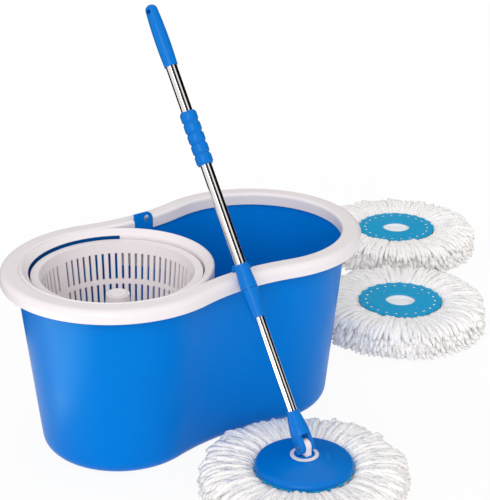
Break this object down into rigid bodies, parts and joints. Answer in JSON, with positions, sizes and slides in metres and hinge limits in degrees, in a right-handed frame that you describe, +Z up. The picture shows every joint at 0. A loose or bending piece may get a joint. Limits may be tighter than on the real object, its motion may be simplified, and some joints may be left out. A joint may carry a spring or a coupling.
{
  "type": "spin mop",
  "caption": "Spin mop set: figure-eight bucket with a slotted spin basket, a hinged mop whose handle is pressed to spin its head, and spare strand heads.",
  "frame": {"origin": "middle of the bucket's flat base, on the floor", "axes": "+Z up, +X along the bucket towards the wash side, the mop stands at -Y"},
  "size_m": [0.9796, 0.768, 0.5491],
  "materials": {
    "bucket_blue": "glossy moulded blue polypropylene",
    "mop_blue": "satin moulded blue plastic",
    "frame_white": "satin moulded white plastic",
    "pole_chrome": "bright polished steel tube",
    "pin_steel": "plain steel",
    "strand_white": "looped microfibre strands",
    "ring_teal": "moulded teal plastic",
    "bearing_nylon": "natural nylon"
  },
  "bodies": {
    "bucket": {"bucket_shell": "bucket_blue", "rim_frame": "frame_white", "basket_spindle": "pin_steel", "thrust_washer": "pin_steel", "spindle_clip": "pin_steel"},
    "basket": {"spin_basket": "frame_white", "basket_bush": "bearing_nylon", "hub_cap": "frame_white"},
    "mop_head": {"mop_plate": "mop_blue", "swivel_lug": "frame_white", "lug_screw": "pin_steel", "refill_ring": "ring_teal", "refill_strands": "strand_white"},
    "lower_pole": {"pole_fork": "mop_blue", "pivot_pin": "pin_steel", "lower_tube": "pole_chrome", "drive_nut": "bearing_nylon", "slide_bush": "bearing_nylon"},
    "collet": {"lock_collet": "bearing_nylon"},
    "handle": {"lock_body": "mop_blue", "outer_tube": "pole_chrome", "ribbed_sleeve": "mop_blue", "tube_joiner": "bearing_nylon", "upper_tube": "pole_chrome", "end_grip": "mop_blue", "rod_anchor": "bearing_nylon", "drive_rod": "pin_steel"},
    "lock_twist_ring": {"lock_ring": "mop_blue"},
    "spare_1": {"spare_1_ring": "ring_teal", "spare_1_strands": "strand_white"},
    "spare_2": {"spare_2_ring": "ring_teal", "spare_2_strands": "strand_white"}
  },
  "joints": [
    {"name": "basket_spin", "type": "hinge", "parent": "bucket", "child": "basket", "pos_m": [-0.105, 0, 0.1378], "axis": [0, 0, 1], "continuous": true},
    {"name": "mop_lift", "type": "slide", "parent": "bucket", "child": "mop_head", "axis": [0, -0.5, 0.866], "range_m": [0, 0.3]},
    {"name": "pole_tilt", "type": "hinge", "parent": "mop_head", "child": "lower_pole", "pos_m": [-0.009, -0.256, 0.07], "axis": [1, 0, 0], "range_deg": [0, 105]},
    {"name": "handle_press", "type": "slide", "parent": "lower_pole", "child": "collet", "axis": [0, -0.5477, -0.8367], "range_m": [0, 0.095]},
    {"name": "handle_spin", "type": "hinge", "parent": "collet", "child": "handle", "pos_m": [-0.009, -0.256, 0.07], "axis": [0, -0.5477, -0.8367], "range_deg": [0, 525]},
    {"name": "lock_twist", "type": "hinge", "parent": "handle", "child": "lock_twist_ring", "pos_m": [-0.009, -0.256, 0.07], "axis": [0, -0.5477, -0.8367], "range_deg": [0, 70]},
    {"name": "spare_1_lift", "type": "slide", "parent": "bucket", "child": "spare_1", "axis": [0, 0, 1], "range_m": [0, 0.3]},
    {"name": "spare_2_lift", "type": "slide", "parent": "bucket", "child": "spare_2", "axis": [0, 0, 1], "range_m": [0, 0.3]}
  ],
  "couplings": [
    {"joint": "handle_spin", "follows": "handle_press", "rad_per_m": 95.2}
  ]
}
